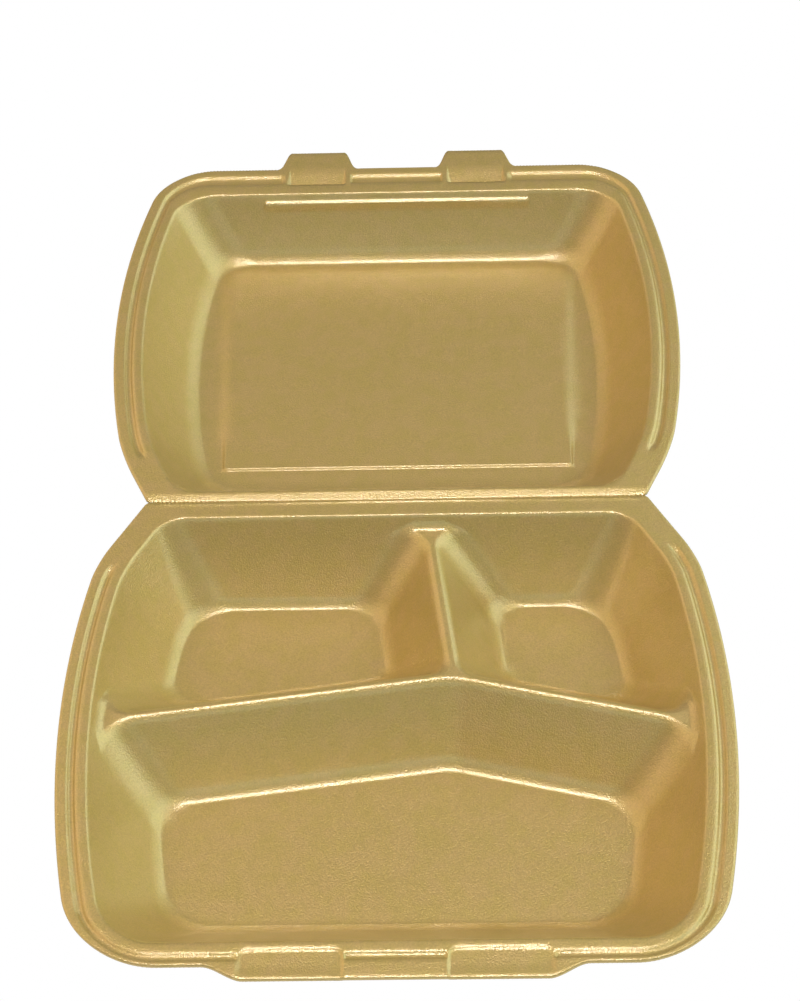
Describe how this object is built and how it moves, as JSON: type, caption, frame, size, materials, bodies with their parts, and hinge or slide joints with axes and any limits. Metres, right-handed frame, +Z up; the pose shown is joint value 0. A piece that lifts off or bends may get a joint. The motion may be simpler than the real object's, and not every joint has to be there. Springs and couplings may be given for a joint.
{
  "type": "three-compartment meal box",
  "caption": "Hinged take-away meal box in gold foamed polystyrene, lying open: tray with three compartments, bowed sides, thumb tongue, and a lid with two locking tabs.",
  "frame": {"origin": "bottom centre of the bounding box of the open box", "axes": "+Y from the tray to the open lid, +Z up, +X to the right seen from the tray's front"},
  "size_m": [0.24, 0.4144, 0.0425],
  "materials": {
    "foam": "satin"
  },
  "bodies": {
    "tray": {"tray": "foam"},
    "lid": {"lid": "foam"}
  },
  "joints": [
    {"name": "lid_fold", "type": "hinge", "parent": "tray", "child": "lid", "pos_m": [0, -0.00317, 0.03535], "axis": [1, 0, 0], "range_deg": [-3.7, 178]}
  ]
}
